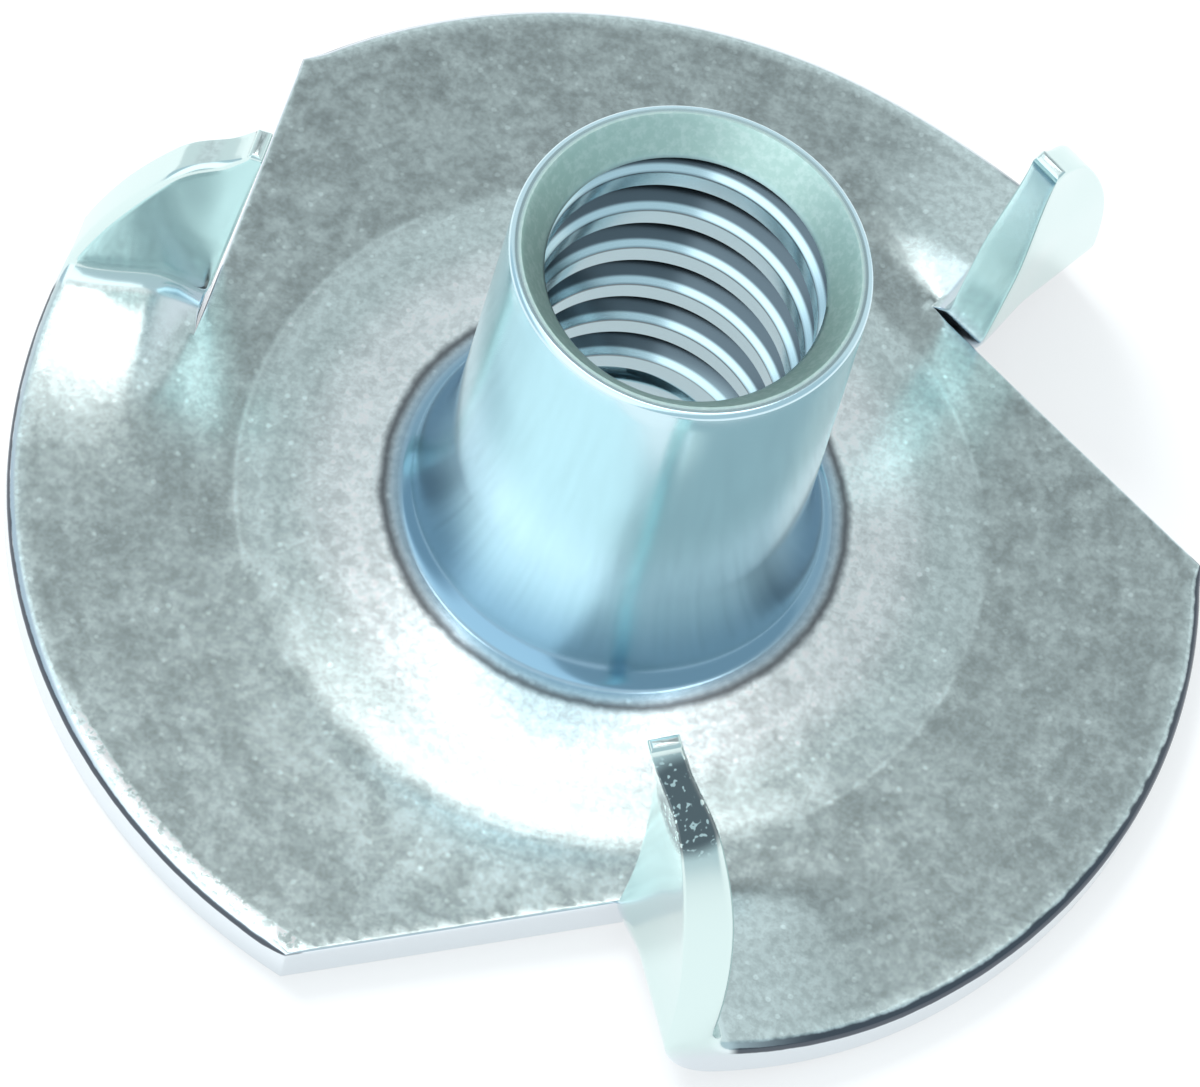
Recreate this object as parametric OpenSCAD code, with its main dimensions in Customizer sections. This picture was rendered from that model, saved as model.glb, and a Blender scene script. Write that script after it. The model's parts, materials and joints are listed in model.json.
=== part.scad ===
// Tee nut with three prongs, pressed from one round blank of sheet steel.
// The flange lies flat on its underside and the drawn barrel stands up along +Z.
// Lengths are millimetres. The origin is on the axis, in the plane of the underside.

/* [Flange] */
// Diameter of the round flange
flange_d = 19; // [17:0.1:24]
// Thickness of the sheet
sheet_t = 0.8; // [0.6:0.05:1]
// Radius of the rolled top edge of the rim
rim_round = 0.18; // [0.05:0.01:0.3]
// Diameter of the crease where the skirt starts to rise towards the barrel
skirt_d = 11.9; // [10:0.1:12.8]
// Slope of the skirt in degrees
skirt_slope = 6; // [2:0.5:9]

/* [Barrel] */
// Height of the whole nut, from the underside of the flange to the mouth
nut_h = 8.2; // [7:0.1:12]
// Outside diameter of the barrel at its mouth
mouth_d = 5.4; // [5.2:0.05:5.6]
// Lean of the barrel's wall in degrees, wider at the root
wall_lean = 1.5; // [0:0.1:3]
// Radius of the fillet between barrel and skirt
root_fillet = 0.65; // [0.3:0.05:0.9]
// Diameter of the bore, which is the minor diameter of the thread
bore_d = 4.2; // [3.6:0.05:4.4]
// Diameter of the countersink at the mouth
countersink_d = 5; // [4.6:0.05:5.1]
// Depth of the countersink
countersink_h = 0.55; // [0.2:0.05:0.9]
// Radius of the drawn entry, where the underside turns up into the bore
entry_round = 0.8; // [0.4:0.05:1]

/* [Prongs] */
// Width of each prong at its root, measured inwards from the rim
prong_w = [2.8, 2.35, 2.8]; // [1.8:0.05:3.2]
// Lean of each prong out over its cut, in degrees from upright
prong_lean = [3, -1, 5]; // [-6:0.5:8]
// Direction of the first prong, in degrees from +X
first_angle = 60; // [0:1:120]
// Clearance that the shear leaves between a prong and the edge it was cut from
shear_gap = 0.06; // [0.04:0.01:0.2]
// Distance of the bend line from the radial line beside it
bend_offset = 0.55; // [0.2:0.05:1]
// Inside radius of the bend
bend_r = 0.3; // [0.15:0.05:0.7]
// Height that the blunted point loses
tip_blunt = 0.12; // [0.04:0.02:0.4]

/* [Hidden] */
$fn = 128;

flange_r = flange_d / 2;
skirt_r = skirt_d / 2;
bore_r = bore_d / 2;
mouth_r = mouth_d / 2;
countersink_r = countersink_d / 2;
prong_n = len(prong_w);

// Outside radius of the bend, which is also the height of its centre over the underside
bend_z = sheet_t + bend_r;

// Room that a cutting tool takes past the sheet
past = 1;
// Overlap of the flange, the bend and the straight part of a prong, which are one sheet
lap = sheet_t / 8;
// Step where the end of the bend draws in from the rim
edge_step = rim_round / 6;
// Straight pieces in each rounded corner of a section
arc_steps = 8;

// Points on an arc of radius r round the point c, from angle a to angle b
function arc(c, r, a, b) = [
    for (i = [0:arc_steps])
        let (t = a + (b - a) * i / arc_steps)
        c + r * [cos(t), sin(t)]
];

// Point p of a plane, turned about the plane's origin by the angle a
function turned(p, a) = [p.x * cos(a) - p.y * sin(a), p.x * sin(a) + p.y * cos(a)];

// Reach of the rim from a line through the axis, at the distance y beside that line's foot
function rim_x(y) = sqrt(flange_r * flange_r - y * y);

// Distance from the axis to the straight cut beside a prong of width w
function cut_x(w) = flange_r - w;

// Distance from the axis to the inner edge of that prong, which runs beside the cut
function prong_x(w) = cut_x(w) + shear_gap;

// Sheet used up by a bend that stops short of upright by the lean, along the middle of its thickness
function bend_l(lean) = PI * (90 - lean) / 180 * (bend_r + sheet_t / 2);

// Height of the skirt over the flat sheet, at a distance r from the axis
function skirt_z(r) = (skirt_r - r) * tan(skirt_slope);

// Distance of the barrel's outer wall from the axis, at height z
function wall_r(z) = mouth_r + (nut_h - z) * tan(wall_lean);

// Centre of the fillet, which touches the leaning wall and the sloping skirt
fillet_reach = wall_r(sheet_t) + root_fillet / cos(wall_lean);
fillet_lift = skirt_r * tan(skirt_slope) + root_fillet / cos(skirt_slope);
fillet_x = (fillet_reach - fillet_lift * tan(wall_lean)) / (1 - tan(skirt_slope) * tan(wall_lean));
fillet_z = sheet_t + skirt_z(fillet_x) + root_fillet / cos(skirt_slope);

// Centre of the rounded entry, which touches the underside of the skirt and the bore
entry_x = bore_r + entry_round;
entry_z = skirt_z(entry_x) + entry_round / cos(skirt_slope);

// Rim of the sheet from the distance x outwards, with its top edge rolled over
function rim_points(x) = concat(
    [[x, 0], [flange_r, 0]],
    arc([flange_r - rim_round, sheet_t - rim_round], rim_round, 0, 90),
    [[x, sheet_t]]
);

// Half section of the flange and the barrel that is drawn up from it
module section() {
    polygon(concat(
        rim_points(skirt_r),
        arc([fillet_x, fillet_z], root_fillet, 270 - skirt_slope, 180 + wall_lean),
        [[mouth_r, nut_h], [countersink_r, nut_h], [bore_r, nut_h - countersink_h]],
        arc([entry_x, entry_z], entry_round, 180, 270 - skirt_slope)
    ));
}

// One cut: the sheet outside the straight line, as far as the bend line
module cut(w) {
    translate([cut_x(w), -flange_r, -past])
        cube([w + past, flange_r - bend_offset, sheet_t + 2 * past]);
}

// Section of the bend, with a thinner tongue at each end that reaches into the sheet it joins
function bend_points(lean) = concat(
    [[0, -bend_r], [0, -bend_r - lap], [lap, -bend_r - lap], [lap, lap - bend_z], [0, lap - bend_z]],
    arc([0, 0], bend_z, 270, 180 + lean),
    [for (p = [[lap - bend_z, 0], [lap - bend_z, lap], [-bend_r - lap, lap], [-bend_r - lap, 0]]) turned(p, lean)],
    arc([0, 0], bend_r, 180 + lean, 270)
);

// Turn of the sheet along the bend line, its end drawn in a little from the rim
module bend(w, lean) {
    intersection() {
        translate([prong_x(w), -bend_offset, bend_z])
            rotate([90, 0, 90])
                linear_extrude(w)
                    polygon(bend_points(lean));
        translate([0, 0, -past])
            linear_extrude(2 * (bend_z + past))
                polygon([
                    [cut_x(w), lap],
                    [rim_x(bend_offset) - edge_step, lap],
                    [rim_x(bend_offset) - edge_step, -bend_offset],
                    [rim_x(bend_offset + bend_l(lean)) - edge_step, -bend_offset - bend_z],
                    [cut_x(w), -bend_offset - bend_z - past]
                ]);
    }
}

// Straight part of the prong: the blank's own rim, folded up
module blade(w, lean) {
    fold = bend_offset + bend_l(lean);
    translate([0, -bend_offset, bend_z])
        rotate([lean, 0, 0])
            intersection() {
                translate([0, -bend_z, -fold])
                    rotate([-90, 0, 0])
                        rotate_extrude()
                            polygon(rim_points(0));
                translate([prong_x(w), -bend_z - past, 0])
                    cube([w + past, sheet_t + 2 * past, rim_x(cut_x(w)) - fold - tip_blunt]);
            }
}

module tee_nut() {
    color("#a3b1b0")
        union() {
            difference() {
                rotate_extrude()
                    section();
                for (i = [0:prong_n - 1])
                    rotate(first_angle + i * 360 / prong_n)
                        cut(prong_w[i]);
            }
            for (i = [0:prong_n - 1])
                rotate(first_angle + i * 360 / prong_n) {
                    bend(prong_w[i], prong_lean[i]);
                    blade(prong_w[i], prong_lean[i]);
                }
        }
}

tee_nut();
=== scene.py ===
import json
import math

import bmesh
import bpy
import numpy as np
from mathutils import Matrix, Vector


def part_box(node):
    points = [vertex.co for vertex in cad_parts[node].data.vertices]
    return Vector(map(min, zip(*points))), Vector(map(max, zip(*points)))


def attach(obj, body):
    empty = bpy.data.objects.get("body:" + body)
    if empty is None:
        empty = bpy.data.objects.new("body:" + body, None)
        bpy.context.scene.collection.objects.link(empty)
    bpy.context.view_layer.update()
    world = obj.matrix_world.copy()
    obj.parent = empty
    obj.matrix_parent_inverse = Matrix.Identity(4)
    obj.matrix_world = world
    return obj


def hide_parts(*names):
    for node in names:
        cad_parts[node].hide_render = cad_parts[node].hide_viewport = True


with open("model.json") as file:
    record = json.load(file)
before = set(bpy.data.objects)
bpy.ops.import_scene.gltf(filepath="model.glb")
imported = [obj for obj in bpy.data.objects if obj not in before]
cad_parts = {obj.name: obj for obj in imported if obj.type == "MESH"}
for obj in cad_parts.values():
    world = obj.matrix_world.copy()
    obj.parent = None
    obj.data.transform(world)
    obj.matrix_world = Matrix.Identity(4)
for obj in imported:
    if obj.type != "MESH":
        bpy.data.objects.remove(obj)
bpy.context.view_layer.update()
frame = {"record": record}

mm = 0.001
lowCorner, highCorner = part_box("tee_nut")
threadMount = next(m for m in frame["record"]["mounts"] if m["name"] == "thread")
print("frame loaded, nut is", [round((b - a) / mm, 2) for a, b in zip(lowCorner, highCorner)], "mm")


def linearColour(hexCode, level=1.0):
    # sRGB hex to the linear light that a shader socket takes, times a level
    parts = np.array([int(hexCode[i:i + 2], 16) for i in (1, 3, 5)]) / 255
    light = np.where(parts <= 0.04045, parts / 12.92, ((parts + 0.055) / 1.055) ** 2.4)
    return (*(light * level), 1.0)


def addNode(tree, kind, sockets=None, **settings):
    # sockets go by name or number; a node or socket given for one is linked, anything else is set as its value
    node = tree.nodes.new(kind)
    for key, value in settings.items():
        setattr(node, key, value)
    for name, value in (sockets or {}).items():
        socket = next(s for i, s in enumerate(node.inputs) if s.enabled and name in (i, s.name))
        if isinstance(value, bpy.types.Node):
            value = next(s for s in value.outputs if s.enabled)
        if isinstance(value, bpy.types.NodeSocket):
            tree.links.new(value, socket)
        else:
            socket.default_value = value
    return node


def smooth(t):
    # 0 to 1 with level ends, 3t^2 - 2t^3
    t = np.clip(t, 0, 1)
    return t * t * (3 - 2 * t)


# sizes in millimetres and degrees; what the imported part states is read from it
nut = {
    "flangeR": highCorner.x / mm,
    "height": highCorner.z / mm,
    "boreR": threadMount["dims"]["r_mm"],
    "sheet": 0.8,
    "skirtR": 5.95,         # the crease where the skirt starts to rise
    "skirtSlope": 6.0,
    "mouthR": 2.7,
    "wallLean": 1.5,
    "rootFillet": 0.65,     # places the foot of the flare
    "flareHeight": 1.9,
    "countersinkR": 2.5,
    "countersinkDepth": 0.55,
    "edgeBreak": 0.02,      # small bevel between the countersink and the lip
    "lipRound": 0.09,
    "entryRound": 0.8,
    "dishFrom": 3.7,
    "dishTo": 7.7,
    "dishHeight": 0.03,
    "rimRound": 0.18,
    "rimEase": 2.0,         # the rim's rounding turns into the cut's over this angle
    "cutRound": 0.05,
    "burrRound": 0.05,
    "cutEase": 5.0,         # the cut's rounding fades out over this angle at the next bend
    "firstAngle": 60.0,
    "sharpAngle": 38.0,
    "weld": 0.0008,
}
# the prongs at 60, 180 and 300 degrees differ a little
prong = {
    "width": (2.8, 2.35, 2.8),
    "lean": (3.0, -1.0, 5.0),
    "tilt": (0.0, 0.5, 0.3),      # how far each point is pushed in towards the axis
    "bow": (0.0, 0.0, 0.3),       # how far the middle of each is bowed back over the flange
    "curl": (0.0, 0.45, 0.0),     # how much later the bend starts at the inner edge
    "thin": (0.35, 0.3, 0.4),     # share of the thickness that each loses towards its point
    "thinReach": 3.0,
    "shearGap": 0.06,
    "gapReach": 0.5,              # the crack opens to its full gap over this length
    "bendOffset": 0.55,
    "bendR": 0.3,
    "tipWidth": 0.24,
    "tipRound": 0.1,
    "tipTurn": 85.0,
    "roundRoom": 3.0,             # an edge narrower than this many roundings has smaller ones
    "liftAngle": 9.5,             # how far the flange is dragged up beside the bend
    "liftReach": 4.0,
    "liftSide": 0.4,              # share of the prong's width over which the lift eases in
}
thread = {
    "pitch": 1.058,
    "depth": 0.4,
    "crest": 0.34,                # shares of the half pitch that stay flat at crest and root
    "root": 0.22,
    "shift": 0.12,                # pitches by which the thread sits lower
    "runIn": 0.5,                 # lengths over which it fades in at the entry and out at the countersink
    "runOut": 0.12,
}
counts = {
    "wall": 14, "arc": 12, "skirt": 12, "sink": 8, "lip": 7, "edge": 6,
    "rimColumns": 66, "cutColumns": 46, "bend": 22, "blade": 40, "tip": 6,
    "pitch": (3, 4, 3, 4),        # rows on the crest, a flank, the root and the other flank
    "rounds": 8,                  # rounds that settle the outline
    "rowStep": 0.2,               # millimetres between the flange's rows
}

cutPlaces = [nut["flangeR"] - width for width in prong["width"]]
sectorAngle = 360 / len(cutPlaces)


def arcPoints(centre, radius, start, end, count):
    # points on a circle round the centre, from one angle in degrees to another
    angle = np.radians(np.linspace(start, end, count))
    return np.column_stack([centre[0] + radius * np.cos(angle), centre[1] + radius * np.sin(angle)])


def linePoints(start, end, count):
    # evenly spaced points from start to end, without the first
    share = np.linspace(0, 1, count + 1)[1:, None]
    return np.array(start) * (1 - share) + np.array(end) * share


def edgeShape():
    # edge of the sheet from its top face to its underside: quarter round, upright wall, quarter round
    # inset and drop are in units of the rounding, wall is the share of the way down
    turn = np.radians(np.linspace(0, 90, counts["edge"] + 1))
    wall = np.linspace(0, 1, counts["edge"] + 1)[1:-1]
    inset = np.concatenate([1 - np.sin(turn), 0 * wall, 1 - np.cos(turn)])
    topDrop = np.concatenate([1 - np.cos(turn), 1 - wall, 0 * turn])
    bottomRise = np.concatenate([0 * turn, wall, 1 - np.sin(turn)])
    down = np.concatenate([0 * turn, wall, 0 * turn + 1])
    isBottom = np.concatenate([0 * turn, 0 * wall, 0 * turn + 1]) > 0
    return inset, topDrop, bottomRise, down, isBottom


def edgePlace(topRound, bottomRound):
    # inset from the outline and height over the underside of each edge row, for arrays of roundings
    inset, topDrop, bottomRise, down, isBottom = (part[:, None] for part in edgeShape())
    sideways = np.where(isBottom, inset * bottomRound, inset * topRound)
    height = nut["sheet"] * (1 - down) - topDrop * topRound + bottomRise * bottomRound
    return sideways, height


def swirl(radius, fade):
    # degrees by which a point is turned back, so that the column at 0 lies on the bend line beside the radial
    # line: arcsine of bendOffset over the distance, eased in between the skirt and the deepest cut
    share = smooth((radius - nut["skirtR"]) / (min(cutPlaces) - nut["skirtR"]))
    return np.degrees(np.arcsin(prong["bendOffset"] / radius)) * share * fade


def outlineRadius(cutX, back, inset, fade):
    # distance from the axis to the flange's outline, moved in by the inset
    # back is the angle before the next bend line: the rim's circle, or the straight cut beside that line
    half = sectorAngle / 2
    rim = nut["flangeR"] - inset + 0 * back
    radius = rim
    for _ in range(counts["rounds"]):
        angle = np.minimum(back + swirl(radius, fade), half)
        radius = np.minimum(rim, np.where(back < half, (cutX - inset) / np.cos(np.radians(angle)), np.inf))
    return radius


def threadRows():
    # rows of the bore that follow the thread: phase in pitches, with rows at the corners of crest and root
    crest, root = thread["crest"] / 2, thread["root"] / 2
    corners = [0.5 - crest, 0.5 + crest, 1 - root, 1 + root, 1.5 - crest]
    steps = [np.linspace(a, b, n + 1)[:-1] for a, b, n in zip(corners, corners[1:], counts["pitch"])]
    onePitch = np.concatenate(steps)
    pitches = np.arange(-1, math.ceil(nut["height"] / thread["pitch"]) + 1)
    return (onePitch[None] + pitches[:, None]).ravel()


def grooveDepth(phase):
    # V groove with flattened crest and root: crest at half phase, root at whole phase
    ramp = np.abs(2 * (phase % 1) - 1)
    flank = 1 - thread["crest"] - thread["root"]
    return thread["depth"] * np.clip((ramp - thread["crest"]) / flank, 0, 1)


def liftField(cutX, x, y):
    # gentle rise of the sheet beside a bend: its angle eases from liftAngle at the bend line to nothing,
    # and the rise is that angle summed from the far end
    side = smooth((x - cutX) / (prong["liftSide"] * (nut["flangeR"] - cutX)))
    along = np.clip((y + prong["bendOffset"]) / prong["liftReach"], 0, 1)
    steepest = math.radians(prong["liftAngle"]) * side
    angle = steepest * (1 - smooth(along))
    rise = steepest * prong["liftReach"] * (0.5 - along + along ** 3 - along ** 4 / 2)
    return angle, rise


def rimEndX():
    # where the bend line meets the rim
    return math.sqrt(nut["flangeR"] ** 2 - prong["bendOffset"] ** 2)


def flangeRows():
    # distances of the flat rows from the axis; some rows pass exactly through the inner ends of the cuts
    ends = sorted({math.hypot(cutX, prong["bendOffset"]) for cutX in cutPlaces})
    stops = [nut["skirtR"], *ends, math.hypot(rimEndX() - nut["rimRound"], prong["bendOffset"])]
    fewest = 3
    rows = [max(fewest, round((b - a) / counts["rowStep"])) for a, b in zip(stops, stops[1:])]
    return np.concatenate([np.linspace(a, b, n + 1)[1:] for a, b, n in zip(stops, stops[1:], rows)])


def sectionProfile():
    # closed half section as rows of distance and height: the upper rows run from the foot of the countersink
    # out to the crease, the lower rows from the crease back under the skirt to the foot of the bore
    slope = math.radians(nut["skirtSlope"])
    lean = math.radians(nut["wallLean"])
    sheet, fillet, entry = nut["sheet"], nut["rootFillet"], nut["entryRound"]
    rootR = nut["mouthR"] + (nut["height"] - sheet) * math.tan(lean)
    reach = rootR + fillet / math.cos(lean)
    rise = nut["skirtR"] * math.tan(slope) + fillet / math.cos(slope)
    filletX = (reach - rise * math.tan(lean)) / (1 - math.tan(slope) * math.tan(lean))
    filletZ = sheet + rise - filletX * math.tan(slope)
    footX, footZ = filletX - fillet * math.sin(slope), filletZ - fillet * math.cos(slope)
    entryX = nut["boreR"] + entry
    entryZ = (nut["skirtR"] - entryX) * math.tan(slope) + entry / math.cos(slope)

    sinkFoot = (nut["boreR"], nut["height"] - nut["countersinkDepth"])
    sink = linePoints(sinkFoot, (nut["countersinkR"], nut["height"] - nut["edgeBreak"]), counts["sink"])
    lip = nut["lipRound"]
    lipCentre = (nut["mouthR"] - lip, nut["height"] - lip)
    lipRows = np.vstack([[nut["countersinkR"] + nut["edgeBreak"], nut["height"]],
                         arcPoints(lipCentre, lip, 90, nut["wallLean"], counts["lip"])])

    # the wall flares out to the fillet's foot as a quarter ellipse, taller than it is wide
    turn = np.radians(np.linspace(0, 90, 2 * counts["arc"]))
    flareZ = footZ + nut["flareHeight"] * (1 - np.sin(turn))
    wallR = nut["mouthR"] + (nut["height"] - flareZ) * math.tan(lean)
    flare = np.column_stack([wallR + (footX - wallR[-1]) * (1 - np.cos(turn)), flareZ])
    wall = linePoints(lipRows[-1], flare[0], counts["wall"])[:-1]
    skirt = linePoints(flare[-1], (nut["skirtR"], sheet), counts["skirt"])
    entryRows = arcPoints((entryX, entryZ), entry, 270 - nut["skirtSlope"], 180, counts["arc"])[:-1]
    under = linePoints((nut["skirtR"], 0), entryRows[0], counts["skirt"])[:-1]
    upper = np.vstack([sinkFoot, sink, lipRows, wall, flare, skirt])
    lower = np.vstack([[nut["skirtR"], 0], under, entryRows, [nut["boreR"], entryZ]])
    return upper, lower, entryZ, sinkFoot[1]


def dishRise(radius, level):
    # the pressed sheet is dished a little past the skirt's crease: an eased hump between two distances
    inner, outer = nut["dishFrom"], nut["dishTo"]
    hump = np.where(radius < nut["skirtR"], smooth((radius - inner) / (nut["skirtR"] - inner)),
                    smooth((outer - radius) / (outer - nut["skirtR"])))
    return np.where((radius > inner) & (level < 2 * nut["sheet"]), nut["dishHeight"] * hump, 0)


def sectorSurface(cutX, start):
    # one third of the nut as a grid of section rows by columns round the axis, from a bend line to the next cut
    upper, lower, boreFoot, boreTop = sectionProfile()
    flat = flangeRows()
    farAngle = math.degrees(math.acos(cutX / nut["flangeR"]))
    rimEnd = sectorAngle - farAngle
    turn = np.concatenate([np.linspace(0, rimEnd, counts["rimColumns"]),
                           np.linspace(rimEnd, sectorAngle, counts["cutColumns"])[1:]])
    back = sectorAngle - turn
    fade = np.where(turn < rimEnd, 1 - turn / rimEnd, 1 - back / farAngle)

    onRim = smooth((back - farAngle) / nut["rimEase"])
    cutRound = nut["cutRound"] * smooth(back / nut["cutEase"])
    topRound = cutRound + (nut["rimRound"] - cutRound) * onRim
    bottomRound = nut["burrRound"] * smooth(back / nut["cutEase"])
    flatTop = np.minimum(flat[:, None], outlineRadius(cutX, back, topRound, fade)[None])
    flatBottom = np.minimum(flat[::-1, None], outlineRadius(cutX, back, bottomRound, fade)[None])
    inset, height = edgePlace(topRound[None], bottomRound[None])
    edge = outlineRadius(cutX, back[None], inset, fade[None])

    # right-hand thread: each row climbs one pitch a turn, and stops at the ends of the bore
    phase = threadRows()[:, None] + 0 * turn[None]
    climb = thread["pitch"] * (phase - thread["shift"] + (turn[None] + start) / 360)
    climb = np.clip(climb, boreFoot, boreTop)
    ease = smooth((climb - boreFoot) / thread["runIn"]) * smooth((boreTop - climb) / thread["runOut"])
    bore = nut["boreR"] + grooveDepth(phase) * ease

    ones = np.ones_like(turn)[None]
    radius = np.vstack([bore, upper[:, :1] * ones, flatTop, edge, flatBottom, lower[:, :1] * ones])
    level = np.vstack([climb, upper[:, 1:] * ones, nut["sheet"] + 0 * flatTop, height, 0 * flatBottom,
                       lower[:, 1:] * ones])
    return turn[None] - swirl(radius, fade[None]), radius, level + dishRise(radius, level)


def flapSurface(cutX, lean, tilt, bow, curl, thin):
    # one prong as rings of its section, from the bend line at 0 along the sheet to the point
    slack = 1e-6
    half = nut["sheet"] / 2
    flat = flangeRows()
    flat = flat[flat > math.hypot(cutX, prong["bendOffset"]) - slack]
    flat = np.sqrt(flat ** 2 - prong["bendOffset"] ** 2)
    share = (flat - cutX) / (flat[-1] - cutX)
    upright = math.radians(90 - lean)
    bendLength = upright * (prong["bendR"] + half)
    opening = cutX + prong["shearGap"] + prong["tipWidth"]
    straightEnd = math.sqrt(nut["flangeR"] ** 2 - opening ** 2) - prong["bendOffset"]
    tipTurn = np.radians(np.linspace(0, prong["tipTurn"], counts["tip"]))[1:]
    body = np.concatenate([np.linspace(0, bendLength, counts["bend"]),
                           np.linspace(bendLength, straightEnd, counts["blade"])[1:]])
    along = np.concatenate([body, straightEnd + prong["tipRound"] * np.sin(tipTurn)])[None]
    shrink = np.concatenate([0 * body, prong["tipRound"] * (1 - np.cos(tipTurn))])[None]

    # the inner edge follows the cut, the outer edge is the rim's circle
    innerX = cutX + prong["shearGap"] * smooth(along / prong["gapReach"]) + shrink
    fromRadial = np.minimum(along, straightEnd) + prong["bendOffset"]
    outerX = np.sqrt(nut["flangeR"] ** 2 - fromRadial ** 2) - shrink
    room = np.minimum(1, (outerX - innerX) / (prong["roundRoom"] * nut["rimRound"]))
    outerRound = nut["rimRound"] * room
    outerBurr = nut["burrRound"] * room
    innerRound = nut["cutRound"] * smooth(along / prong["gapReach"]) * room

    outerInset, outerHeight = edgePlace(outerRound, outerBurr)
    innerInset, innerHeight = edgePlace(innerRound, innerRound)
    left = innerX + innerRound
    face = left + (outerX - outerRound - left) * share[:, None]
    x = np.vstack([face, outerX - outerInset, face[::-1], innerX + innerInset[::-1]])
    top = 0 * face + half
    offset = np.vstack([top, outerHeight - half, -top, innerHeight[::-1] - half])
    offset = np.clip(offset, shrink - half, half - shrink)
    offset = offset * (1 - thin * smooth(1 - (straightEnd - along) / prong["thinReach"]))
    dish = dishRise(np.hypot(x[:, :1], prong["bendOffset"]), 0)
    offset = offset + dish * (1 - smooth(along / bendLength))

    # the point is pushed in by the tilt, in step with the distance past the bend
    late = curl * (1 - smooth((x - cutX) / (nut["flangeR"] - cutX)))
    past = np.clip((along - bendLength) / (straightEnd - bendLength), 0, 1)
    x = x - tilt * past

    # the sheet's middle runs on level, turns up at a steady rate over bendLength, then runs straight;
    # the bow is a parabola along the straight part
    angle0, rise0 = liftField(cutX, x, 0 * x - prong["bendOffset"])
    rate = (upright - angle0) / bendLength
    level = np.minimum(along, late)
    bent = np.clip(along - late, 0, bendLength)
    angle = angle0 + rate * bent
    straight = along - level - bent
    sideways = level * np.cos(angle0) + (np.sin(angle) - np.sin(angle0)) / rate + straight * np.cos(angle)
    upwards = level * np.sin(angle0) + (np.cos(angle0) - np.cos(angle)) / rate + straight * np.sin(angle)
    y = -prong["bendOffset"] - sideways + offset * np.sin(angle) + bow * 4 * past * (1 - past)
    z = half + rise0 + upwards + offset * np.cos(angle)
    return x, y, z


def gridFaces(rows, columns, first):
    # quads between neighbouring rows and columns of a block stored row by row; the last row joins the first
    row = np.arange(rows)[:, None]
    column = np.arange(columns - 1)[None]
    following = (row + 1) % rows
    corners = [row * columns + column, row * columns + column + 1,
               following * columns + column + 1, following * columns + column]
    return np.stack(corners, -1).reshape(-1, 4) + first


def buildNut():
    # thirds of the body and their prongs, turned into place, welded and closed
    half = nut["sheet"] / 2
    places, quads, fans, count = [], [], [], 0
    for index, cutX in enumerate(cutPlaces):
        start = nut["firstAngle"] + index * sectorAngle
        c, s = math.cos(math.radians(start)), math.sin(math.radians(start))
        turn, radius, level = sectorSurface(cutPlaces[(index + 1) % len(cutPlaces)], start)

        # the sheet beside this sector's own prong is dragged up with the bend
        x = radius * np.cos(np.radians(turn))
        y = radius * np.sin(np.radians(turn))
        angle, rise = (np.where(turn < sectorAngle / 2, part, 0) for part in liftField(cutX, x, y))
        middle = level - half
        y = y + middle * np.sin(angle)
        z = half + rise + middle * np.cos(angle)
        places.append(np.stack([x * c - y * s, x * s + y * c, z], -1).reshape(-1, 3))
        quads.append(gridFaces(*x.shape, count))
        count += x.size

        shape = [prong[key][index] for key in ("lean", "tilt", "bow", "curl", "thin")]
        x, y, z = flapSurface(cutX, *shape)
        flap = np.stack([x * c - y * s, x * s + y * c, z], -1)
        places.append(flap.reshape(-1, 3))
        quads.append(gridFaces(*x.shape, count))

        # a fan of triangles closes the point
        last = count + np.arange(x.shape[0]) * x.shape[1] + x.shape[1] - 1
        count += x.size
        places.append(flap[:, -1].mean(0)[None])
        fans.append(np.column_stack([last, np.roll(last, -1), np.full(len(last), count)]))
        count += 1

    mesh = bpy.data.meshes.new("zincTeeNut")
    faces = np.vstack(quads).tolist() + np.vstack(fans).tolist()
    mesh.from_pydata((np.vstack(places) * mm).tolist(), [], faces)
    work = bmesh.new()
    work.from_mesh(mesh)
    bmesh.ops.remove_doubles(work, verts=work.verts, dist=nut["weld"] * mm)
    bmesh.ops.dissolve_degenerate(work, edges=work.edges, dist=nut["weld"] * mm)
    bmesh.ops.recalc_face_normals(work, faces=work.faces)
    openEdges = sum(not edge.is_manifold for edge in work.edges)
    work.to_mesh(mesh)
    work.free()
    mesh.polygons.foreach_set("use_smooth", np.ones(len(mesh.polygons), bool))
    mesh.set_sharp_from_angle(angle=math.radians(nut["sharpAngle"]))
    piece = bpy.data.objects.new("zincTeeNut", mesh)
    bpy.context.scene.collection.objects.link(piece)
    print("nut meshed,", sum(len(p.vertices) - 2 for p in mesh.polygons), "triangles,", openEdges, "open edges")
    return piece


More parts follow.
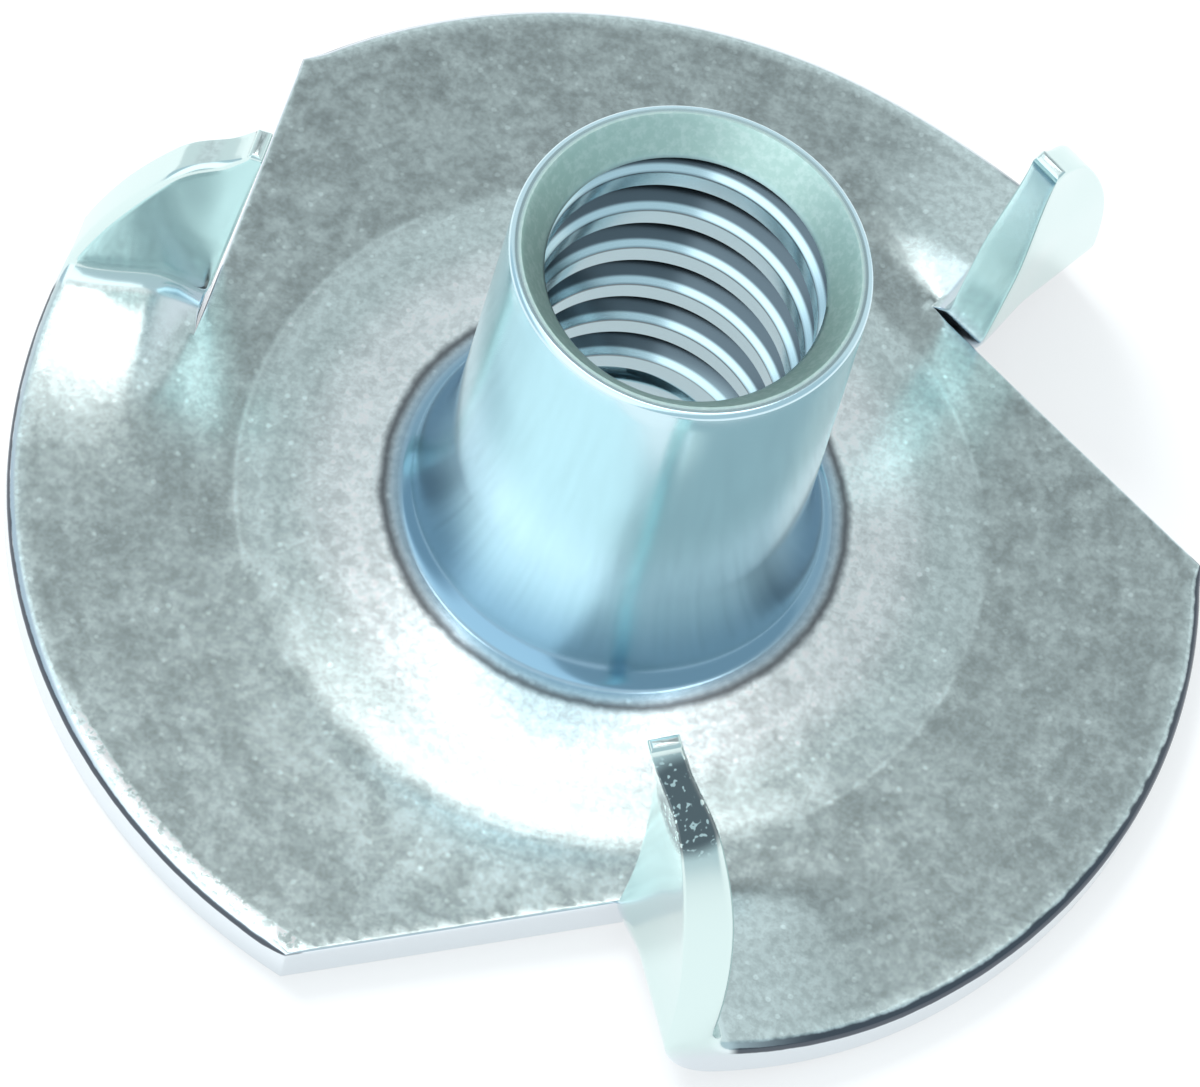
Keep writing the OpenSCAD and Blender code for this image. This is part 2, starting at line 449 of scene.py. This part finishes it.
def zincPlate():
    # bright zinc over pressed steel, blue passivated: a cool mirror on the drawn barrel and the sheared edges,
    # broken up on the pressed faces by a fine bright and dark grain, with a scuff and nicks on the front prong;
    # painted shade darkens the thread's grooves, the barrel's foot, the corner at its root and the rim's edge,
    # and painted highlights brighten the crease, the outer ring and the rim's front left
    finish = {
        "flange": "#d3dfde",
        # a paler colour on the skirt round the barrel's foot
        "skirtPale": "#f6fbfb",
        "edges": "#e6ecf0",
        "prong": "#dbece9",
        "barrel": "#d4ecf3",
        # painted shade: the barrel darkens through these two colours towards its foot
        "root": "#b0ced9",
        "foot": "#88a9bd",
        "sink": "#c6dfd7",
        "sinkPale": "#e6f5f0",
        # painted shade: a dark ring in the corner where the barrel meets the skirt
        "ring": "#3b3940",
        "scuffAndShade": "#2d3542",
        "flangeRough": (0.19, 0.27),
        "smoothRough": 0.17,
        "sinkRough": 0.5,
        "grainBump": 0.06,
        "bumpHeight": 0.01,
        "noiseRough": 0.65,
        "speckWidth": 0.3,
        "ringWidth": 0.34,        # spacing of the turned rings, and how much they show
        "ringTone": 0.03,
        "ragged": 0.25,
        # width in millimetres and detail of each noise; the grain is drawn coarser than the real one, to show
        "noises": {"grain": (0.13, 2.0), "patch": (0.5, 4.0), "streak": (2.5, 1.0), "fleck": (0.1, 1.0)},
        # middles of the marks: the painted highlight on the rim at the front left, and the scuff and two nicks
        # on the front prong
        "marks": {
            "fromRimGlint": (-4.6, -8.2, 0.8),
            "fromScuff": (2.4, -7.0, 5.25),
            "fromNick": (2.98, -7.49, 4.27),
            "fromNickBelow": (3.13, -7.69, 3.88),
        },
    }
    boreFoot, sinkFoot = sectionProfile()[2:]

    material = bpy.data.materials.new("zincPlatedPressedSteel")
    material.use_nodes = True
    tree = material.node_tree
    tree.nodes.clear()

    # what the finish goes by: place in millimetres, reach from the axis, the way a face looks, noises, marks
    place = addNode(tree, "ShaderNodeTexCoord").outputs["Object"]
    inMm = addNode(tree, "ShaderNodeVectorMath", {0: place, "Scale": 1 / mm}, operation="SCALE")
    axes = addNode(tree, "ShaderNodeSeparateXYZ", {"Vector": inMm}).outputs
    flat = addNode(tree, "ShaderNodeVectorMath", {0: inMm, 1: (1, 1, 0)}, operation="MULTIPLY")
    normal = addNode(tree, "ShaderNodeNewGeometry").outputs["Normal"]
    parts = {
        "right": axes["X"],
        "height": axes["Z"],
        "reach": addNode(tree, "ShaderNodeVectorMath", {0: flat}, operation="LENGTH"),
        "upward": addNode(tree, "ShaderNodeSeparateXYZ", {"Vector": normal}).outputs["Z"],
        "speck": addNode(tree, "ShaderNodeTexVoronoi", {"Vector": inMm, "Scale": 1 / finish["speckWidth"]}),
    }
    for name, (width, detail) in finish["noises"].items():
        parts[name] = addNode(tree, "ShaderNodeTexNoise", {
            "Vector": inMm, "Scale": 1 / width, "Detail": detail, "Roughness": finish["noiseRough"]})
    for name, middle in finish["marks"].items():
        parts[name] = addNode(tree, "ShaderNodeVectorMath", {0: inMm, 1: middle}, operation="DISTANCE")

    # borders are ragged by the patches, less so at the barrel's root
    ragged = addNode(tree, "ShaderNodeMath", {0: parts["patch"], 1: 0.5}, operation="SUBTRACT")
    for name, source, share in (("raggedReach", "reach", 0.5), ("raggedUpward", "upward", 1.0)):
        parts[name] = addNode(tree, "ShaderNodeMath", {
            0: ragged, 1: share * finish["ragged"], 2: parts[source]}, operation="MULTIPLY_ADD")

    # phase of the thread: height in pitches less the share of a turn, as in the mesh
    turn = addNode(tree, "ShaderNodeMath", {0: axes["Y"], 1: axes["X"]}, operation="ARCTAN2")
    climb = addNode(tree, "ShaderNodeMath", {0: axes["Z"], 1: 1 / thread["pitch"], 2: thread["shift"]},
                    operation="MULTIPLY_ADD")
    climb = addNode(tree, "ShaderNodeMath", {0: turn, 1: -0.5 / math.pi, 2: climb}, operation="MULTIPLY_ADD")
    parts["phase"] = addNode(tree, "ShaderNodeMath", {0: climb}, operation="FRACT")

    # eased steps: what each goes by, where it starts and ends, and its values there
    steps = {
        "facesUp": ("upward", 0.86, 0.97, 0.0, 1.0),
        "pastRoot": ("reach", 3.3, 3.9, 0.0, 1.0),
        "grainTone": ("grain", 0.3, 0.7, 0.86, 1.1),
        "patchTone": ("patch", 0.3, 0.7, 0.96, 1.035),
        "speckTone": ("speck", 0.1, 0.2, 0.25, 0.0),
        # noise that breaks up the painted highlight on the crease
        "creaseTone": ("streak", 0.42, 0.6, 0.0, 0.3),
        # painted highlight: a broken bright band along the rim at the front left
        "rimGlintTone": ("grain", 0.38, 0.55, 0.1, 0.8),
        "nearRimGlint": ("fromRimGlint", 3.4, 2.0, 0.0, 1.0),
        "onSkirt": ("reach", 5.3, 4.3, 0.0, 1.0),
        "raised": ("height", 0.8, 1.4, 0.0, 1.0),
        "onBarrel": ("reach", 3.5, 3.9, 1.0, 0.0),
        "pastBore": ("reach", 2.62, 2.7, 0.0, 1.0),
        "rootHeight": ("height", 4.8, 2.2, 0.0, 1.0),
        "footHeight": ("height", 2.8, 1.3, 0.0, 1.0),
        "cornerHeight": ("height", 1.9, 1.6, 0.0, 0.8),
        "rightSide": ("right", 3.5, 5.5, 0.0, 1.0),
        "atRim": ("reach", 9.28, 9.36, 0.0, 0.9),
        # painted shade in the thread: dark over each root and the deep parts of its flanks
        "grooveTop": ("phase", 0.715, 0.745, 0.0, 1.0),
        "grooveFoot": ("phase", 0.34, 0.26, 0.0, 1.0),
        "boreReach": ("reach", 2.72, 2.6, 0.0, 1.0),
        "boreHeight": ("height", sinkFoot + 0.05, sinkFoot - 0.05, 0.0, 1.0),
        "pastEntry": ("height", boreFoot + 0.5, boreFoot + 0.9, 0.0, 0.85),
        "sinkReach": ("reach", 2.62, 2.5, 0.0, 1.0),
        "sinkHeight": ("height", sinkFoot - 0.1, sinkFoot + 0.1, 0.0, 1.0),
        "sinkGrain": ("grain", 0.4, 0.7, 0.0, 0.5),
        "nearScuff": ("fromScuff", 0.9, 0.6, 0.0, 1.0),
        "scuffFlecks": ("fleck", 0.33, 0.42, 0.0, 0.8),
        "nick": ("fromNick", 0.16, 0.09, 0.0, 0.8),
        "nickBelow": ("fromNickBelow", 0.16, 0.09, 0.0, 0.8),
        "dull": ("patch", 0.3, 0.7, *finish["flangeRough"]),
    }
    # bands: what each goes by, where it starts and ends, how soft its sides are, and its value in between
    bands = {
        # painted highlights: a thin bright line on the skirt's crease and a fainter one on the outer ring
        "crease": ("reach", 5.93, 6.0, 0.05, 1.0),
        "outerRing": ("reach", 7.66, 7.74, 0.06, 0.08),
        # painted highlight along the rim at the front left
        "rimGlintBand": ("reach", 9.17, 9.4, 0.04, 1.0),
        # painted shade in the corner at the barrel's root
        "cornerRing": ("raggedReach", 3.6, 3.74, 0.08, 1.0),
        # painted shade: a dark band on the rim's rounded edge, set by which way the edge faces
        "rimBand": ("raggedUpward", 0.14, 0.68, 0.07, 1.0),
        "wideRim": ("raggedUpward", 0.14, 0.94, 0.05, 1.0),
        # painted dark reflection: a thin line at the upper edge of each crest
        "threadLine": ("phase", 0.635, 0.675, 0.015, 0.85),
    }
    for name, (source, start, end, soft, value) in bands.items():
        steps[name + "Start"] = (source, start - soft, start + soft, 0.0, 1.0)
        steps[name + "End"] = (source, end - soft, end + soft, value, 0.0)
    for name, (source, start, end, low, high) in steps.items():
        parts[name] = addNode(tree, "ShaderNodeMapRange", {
            "Value": parts[source], "From Min": start, "From Max": end, "To Min": low, "To Max": high},
            interpolation_type="SMOOTHSTEP")

    # the folded prongs: past a bend line and outside its cut
    flapEdge = {"bend": (-0.4, -0.6), "cut": (-0.05, 0.05)}
    onFlap = 0.0
    for index, cutX in enumerate(cutPlaces):
        angle = math.radians(nut["firstAngle"] + index * sectorAngle)
        outward, across = (math.cos(angle), math.sin(angle), 0), (-math.sin(angle), math.cos(angle), 0)
        folded = 1.0
        for towards, base, (start, end) in ((across, 0, flapEdge["bend"]), (outward, cutX, flapEdge["cut"])):
            away = addNode(tree, "ShaderNodeVectorMath", {0: inMm, 1: towards}, operation="DOT_PRODUCT")
            side = addNode(tree, "ShaderNodeMapRange", {
                "Value": away, "From Min": base + start, "From Max": base + end},
                interpolation_type="SMOOTHSTEP")
            folded = addNode(tree, "ShaderNodeMath", {0: folded, 1: side}, operation="MULTIPLY")
        onFlap = addNode(tree, "ShaderNodeMath", {0: onFlap, 1: folded}, operation="MAXIMUM")
    parts["offFlap"] = addNode(tree, "ShaderNodeMath", {0: 1.0, 1: onFlap}, operation="SUBTRACT")

    # masks put together from two parts each, in this order
    masks = [(name, "MULTIPLY", name + "Start", name + "End") for name in bands] + [
        ("pressed", "MULTIPLY", "facesUp", "pastRoot"),       # pressed faces look up and lie outside the root
        # painted highlight on the rim at the front left
        ("rimGlint", "MULTIPLY", "nearRimGlint", "rimGlintBand"),
        ("outside", "MULTIPLY", "onBarrel", "pastBore"),
        # painted shade on the barrel, darker towards its foot, outside the bore
        ("atRoot", "MULTIPLY", "outside", "rootHeight"),
        ("atFoot", "MULTIPLY", "outside", "footHeight"),
        ("corner", "MULTIPLY", "cornerRing", "cornerHeight"),
        ("wideRim", "MULTIPLY", "wideRim", "rightSide"),      # the painted shade on the rim's edge is wider on the right
        # painted shade on the rim's rounded edge, kept off the prongs
        ("rim", "MAXIMUM", "rimBand", "wideRim"),
        ("rim", "MULTIPLY", "rim", "atRim"),
        ("rim", "MULTIPLY", "rim", "offFlap"),
        ("inBore", "MULTIPLY", "boreReach", "boreHeight"),
        # painted shade in the thread's grooves, with the painted dark line at each crest's edge
        ("groove", "MAXIMUM", "grooveTop", "grooveFoot"),
        ("groove", "MAXIMUM", "groove", "threadLine"),
        ("groove", "MULTIPLY", "groove", "inBore"),
        ("groove", "MULTIPLY", "groove", "pastEntry"),
        ("inSink", "MULTIPLY", "sinkReach", "sinkHeight"),
        ("sinkStreaks", "MULTIPLY", "inSink", "sinkGrain"),
        ("scuff", "MULTIPLY", "nearScuff", "scuffFlecks"),
        ("scuff", "MAXIMUM", "scuff", "nick"),
        ("scuff", "MAXIMUM", "scuff", "nickBelow"),
    ]
    for name, operation, first, second in masks:
        parts[name] = addNode(tree, "ShaderNodeMath", {0: parts[first], 1: parts[second]}, operation=operation)

    # tone of the pressed faces: grain and patches, plus specks and turned rings, then painted highlights on the
    # crease, the outer ring and the rim's front left
    ringPhase = addNode(tree, "ShaderNodeMath", {0: parts["reach"], 1: 2 * math.pi / finish["ringWidth"]},
                        operation="MULTIPLY")
    rings = addNode(tree, "ShaderNodeMath", {0: ringPhase}, operation="SINE")
    tone = addNode(tree, "ShaderNodeMath", {0: parts["grainTone"], 1: parts["patchTone"]}, operation="MULTIPLY")
    for mark, strength in ((parts["speckTone"], 1.0), (rings, finish["ringTone"]),
                           (parts["crease"], parts["creaseTone"]), (parts["outerRing"], 1.0),
                           (parts["rimGlint"], parts["rimGlintTone"])):
        tone = addNode(tree, "ShaderNodeMath", {0: mark, 1: strength, 2: tone}, operation="MULTIPLY_ADD")
    sheen = addNode(tree, "ShaderNodeMix", {
        "Factor": parts["onSkirt"], "A": linearColour(finish["flange"]), "B": linearColour(finish["skirtPale"])},
        data_type="RGBA")
    face = addNode(tree, "ShaderNodeVectorMath", {0: sheen, "Scale": tone}, operation="SCALE")

    # colours, each laid over the last: smooth metal, darker towards the barrel's foot as painted shade, pressed
    # faces, the countersink, a painted dark ring in the corner at the barrel's root, then one dark colour for
    # the rim's edge and the thread's grooves as painted shade, and for the scuff and nicks
    layers = [
        ("prong", "raised"), ("barrel", "onBarrel"), ("root", "atRoot"), ("foot", "atFoot"), (face, "pressed"),
        ("sink", "inSink"), ("sinkPale", "sinkStreaks"), ("ring", "corner"), ("scuffAndShade", "rim"),
        ("scuffAndShade", "scuff"), ("scuffAndShade", "groove"),
    ]
    colour = linearColour(finish["edges"])
    for over, mask in layers:
        over = linearColour(finish[over]) if isinstance(over, str) else over
        colour = addNode(tree, "ShaderNodeMix", {"Factor": parts[mask], "A": colour, "B": over},
                         data_type="RGBA")

    calm = addNode(tree, "ShaderNodeMapRange", {
        "Value": parts["inSink"], "To Min": finish["smoothRough"], "To Max": finish["sinkRough"]},
        interpolation_type="SMOOTHSTEP")
    rough = addNode(tree, "ShaderNodeMix", {"Factor": parts["pressed"], "A": calm, "B": parts["dull"]})
    onFaces = addNode(tree, "ShaderNodeMath", {0: parts["pressed"], 1: finish["grainBump"]},
                      operation="MULTIPLY")
    bump = addNode(tree, "ShaderNodeBump", {
        "Height": parts["grain"], "Strength": onFaces, "Distance": finish["bumpHeight"] * mm})
    shader = addNode(tree, "ShaderNodeBsdfPrincipled", {
        "Base Color": colour, "Metallic": 1.0, "Roughness": rough, "Normal": bump})
    addNode(tree, "ShaderNodeOutputMaterial", {"Surface": shader})
    print("zinc plate laid on")
    return material


paper = {"colour": "#f4f5f6", "glow": 0.6, "half": 150, "drop": 0.004}


def whitePaper():
    # matt white paper: camera, glossy and transmission rays see it near white, and it keeps the nut's shadow
    material = bpy.data.materials.new("mattWhitePaper")
    material.use_nodes = True
    tree = material.node_tree
    tree.nodes.clear()
    rays = addNode(tree, "ShaderNodeLightPath").outputs
    seen = rays["Is Camera Ray"]
    for name in ("Is Glossy Ray", "Is Transmission Ray"):
        seen = addNode(tree, "ShaderNodeMath", {0: seen, 1: rays[name]}, operation="MAXIMUM")
    share = addNode(tree, "ShaderNodeMath", {0: seen, 1: paper["glow"]}, operation="MULTIPLY")
    matt = addNode(tree, "ShaderNodeBsdfDiffuse", {"Color": linearColour(paper["colour"])})
    glow = addNode(tree, "ShaderNodeEmission", {"Color": (1, 1, 1, 1), "Strength": 1.0})
    mixed = addNode(tree, "ShaderNodeMixShader", {"Fac": share, 1: matt, 2: glow})
    addNode(tree, "ShaderNodeOutputMaterial", {"Surface": mixed})
    return material


def layFloor():
    # flat sheet of paper just under the nut
    half, drop = paper["half"] * mm, paper["drop"] * mm
    mesh = bpy.data.meshes.new("paperFloor")
    corners = [(-half, -half, -drop), (half, -half, -drop), (half, half, -drop), (-half, half, -drop)]
    mesh.from_pydata(corners, [], [(0, 1, 2, 3)])
    floor = bpy.data.objects.new("paperFloor", mesh)
    bpy.context.scene.collection.objects.link(floor)
    mesh.materials.append(whitePaper())


def lightStudio():
    # tube lamp overhead for the glints, and a lamp behind for the shadow on the paper
    lamps = {
        "tube": {"at": (0, 40, 178), "size": (100, 18), "power": 0.019, "glints": True},
        "behind": {"at": (-90, 60, 160), "size": (60, 60), "power": 0.22, "glints": False},
    }
    for name, lamp in lamps.items():
        light = bpy.data.lights.new(name, "AREA")
        light.shape = "RECTANGLE"
        light.size, light.size_y = (side * mm for side in lamp["size"])
        light.energy = lamp["power"]
        holder = bpy.data.objects.new(name, light)
        holder.visible_glossy = lamp["glints"]
        spot = Vector(lamp["at"]) * mm
        holder.matrix_world = Matrix.Translation(spot) @ (-spot).to_track_quat("-Z", "Y").to_matrix().to_4x4()
        bpy.context.scene.collection.objects.link(holder)

    # round them a room: a tall window panel at the left, a pale roof, and a grey wall behind between flanks
    # each side of it has a direction, and the shares of that at which the side starts and is whole
    sides = {
        "left": ((-1, 0.1, 0.25), -0.04, 0.04),
        "above": ((0, 0, 1), 0.9, 0.96),
        "farLeft": ((-0.96, 0.28, 0), 0.5, 0.8),
        "behind": ((0, 1, 0), 0.23, 0.33),
        "notRight": ((1, 0, 0), 0.26, 0.12),
        "notLeft": ((-1, 0, 0), 0.26, 0.12),
        "high": ((0, 0, 1), 0.78, 0.94),
        "low": ((0, 0, -1), -0.81, -0.72),
    }
    # sides put together from two others, in this order
    joined = {
        "middle": ("notRight", "notLeft"),
        "wall": ("behind", "middle"),
        "wallTop": ("wall", "high"),
        "lowBack": ("behind", "low"),
    }
    # colour and level of each part of the room, and its side, each laid over the last
    plain = "#c0d3dc"
    room = [
        ("#e6f3f9", 1.65, "left"),
        ("#eff5f7", 1.25, "above"),
        ("#bcd2df", 1.0, "farLeft"),
        ("#d8e4e8", 1.0, "behind"),
        ("#7b8184", 1.0, "wall"),
        ("#acb4b6", 1.0, "wallTop"),
        ("#e3eef2", 1.0, "lowBack"),
    ]
    world = bpy.data.worlds.new("studio")
    world.use_nodes = True
    tree = world.node_tree
    tree.nodes.clear()
    direction = addNode(tree, "ShaderNodeTexCoord").outputs["Generated"]
    parts = {}
    for name, (towards, start, end) in sides.items():
        share = addNode(tree, "ShaderNodeVectorMath", {0: direction, 1: towards}, operation="DOT_PRODUCT")
        parts[name] = addNode(tree, "ShaderNodeMapRange", {"Value": share, "From Min": start, "From Max": end},
                              interpolation_type="SMOOTHSTEP")
    for name, (first, second) in joined.items():
        parts[name] = addNode(tree, "ShaderNodeMath", {0: parts[first], 1: parts[second]}, operation="MULTIPLY")
    shade = linearColour(plain)
    for hexCode, level, side in room:
        shade = addNode(tree, "ShaderNodeMix", {
            "Factor": parts[side], "A": shade, "B": linearColour(hexCode, level)}, data_type="RGBA")
    glow = addNode(tree, "ShaderNodeBackground", {"Color": shade, "Strength": 1.0})
    addNode(tree, "ShaderNodeOutputWorld", {"Surface": glow})
    bpy.context.scene.world = world


def placeCamera():
    # long lens looking down on the flange, rolled so that the barrel leans to the right
    view = {"azimuth": 1.0, "elevation": 59.42, "roll": 17.57, "distance": 86.64, "aim": (-0.03, -0.23),
            "focalPixels": 5472, "imageWidth": 1200, "sensor": 36.0, "nearest": 1.0}
    roll, elevation = math.radians(view["roll"]), math.radians(view["elevation"])
    turn = Matrix.Rotation(math.radians(view["azimuth"]), 3, "Z")
    forward = Vector((0, math.cos(elevation), -math.sin(elevation)))
    right = Vector((1, 0, 0))
    above = right.cross(forward)
    rolledRight = math.cos(roll) * right + math.sin(roll) * above
    rolledUp = -math.sin(roll) * right + math.cos(roll) * above
    eye = turn @ ((Vector((*view["aim"], 0)) - forward * view["distance"]) * mm)
    axes = [turn @ rolledRight, turn @ rolledUp, -(turn @ forward)]
    lens = bpy.data.cameras.new("camera")
    lens.sensor_fit = "HORIZONTAL"
    lens.sensor_width = view["sensor"]
    lens.lens = view["focalPixels"] / view["imageWidth"] * view["sensor"]
    lens.clip_start = view["nearest"] * mm
    camera = bpy.data.objects.new("camera", lens)
    camera.matrix_world = Matrix([[axes[c][r] for c in range(3)] + [eye[r]] for r in range(3)] + [[0, 0, 0, 1]])
    bpy.context.scene.collection.objects.link(camera)
    bpy.context.scene.camera = camera


placeCamera()
layFloor()
lightStudio()
print("camera, floor and lights set")
teeNut = buildNut()
teeNut.data.materials.append(zincPlate())
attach(teeNut, "root")
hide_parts("tee_nut")
bpy.context.scene.view_settings.view_transform = "Standard"
